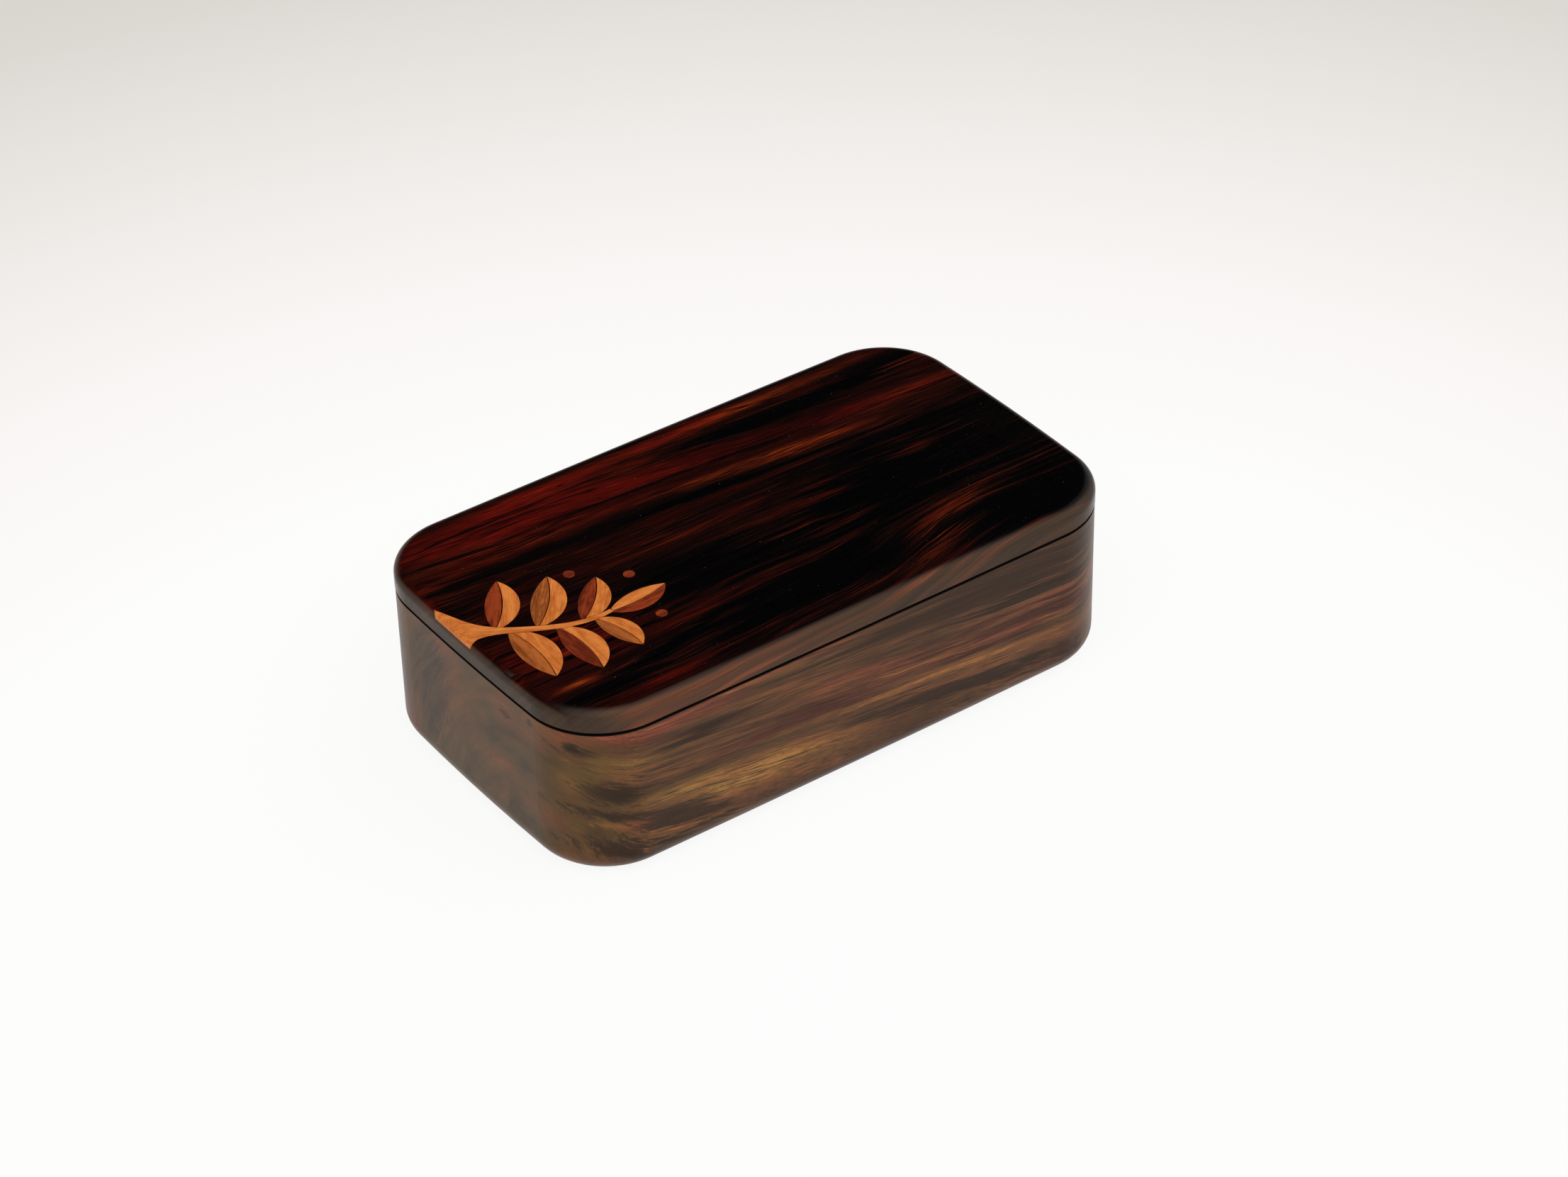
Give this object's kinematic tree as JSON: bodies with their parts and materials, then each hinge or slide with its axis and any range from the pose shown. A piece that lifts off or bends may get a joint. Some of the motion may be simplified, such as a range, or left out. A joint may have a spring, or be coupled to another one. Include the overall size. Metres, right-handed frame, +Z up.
{
  "type": "trinket box",
  "caption": "Low rectangular hardwood trinket box with rounded corners, hollowed from one block, with a flat lift-off lid inlaid with a leaf sprig at one end.",
  "frame": {"origin": "middle of the box's underside, on the surface that it stands on", "axes": "+X along the box, from the inlaid end to the plain end; -Y is the long front face; +Z up"},
  "size_m": [0.178, 0.1018, 0.0525],
  "materials": {
    "rosewood_box": "dark streaked rosewood, satin oil finish, end grain on the short faces",
    "rosewood_lid": "dark streaked rosewood with near-black heart bands, satin to semi-gloss oil finish",
    "rosewood_plate": "plain dark rosewood, sanded, light oil",
    "cherry_inlay": "figured warm light wood, fine grain, satin oil finish",
    "walnut_inlay": "mid brown wood, fine grain, satin oil finish",
    "padauk_inlay": "red-brown wood, fine grain, satin oil finish",
    "suede_lining": "soft charcoal suede, fine nap"
  },
  "bodies": {
    "box": {"box_body": "rosewood_box", "floor_lining": "suede_lining"},
    "lid": {"lid_panel": "rosewood_lid", "locating_plate": "rosewood_plate", "stem_inlay": "cherry_inlay", "leaf_1_light_half": "cherry_inlay", "leaf_1_dark_half": "padauk_inlay", "leaf_2_light_half": "cherry_inlay", "leaf_2_dark_half": "walnut_inlay", "leaf_3_light_half": "cherry_inlay", "leaf_3_dark_half": "walnut_inlay", "leaf_4_light_half": "cherry_inlay", "leaf_4_dark_half": "padauk_inlay", "leaf_5_light_half": "cherry_inlay", "leaf_5_dark_half": "padauk_inlay", "leaf_6_light_half": "cherry_inlay", "leaf_6_dark_half": "walnut_inlay", "leaf_7_light_half": "cherry_inlay", "leaf_7_dark_half": "padauk_inlay", "berry_1": "padauk_inlay", "berry_2": "padauk_inlay", "berry_3": "padauk_inlay"}
  },
  "joints": [
    {"name": "lid_lift", "type": "slide", "parent": "box", "child": "lid", "axis": [0, 0, 1], "range_m": [0, 0.06]}
  ]
}
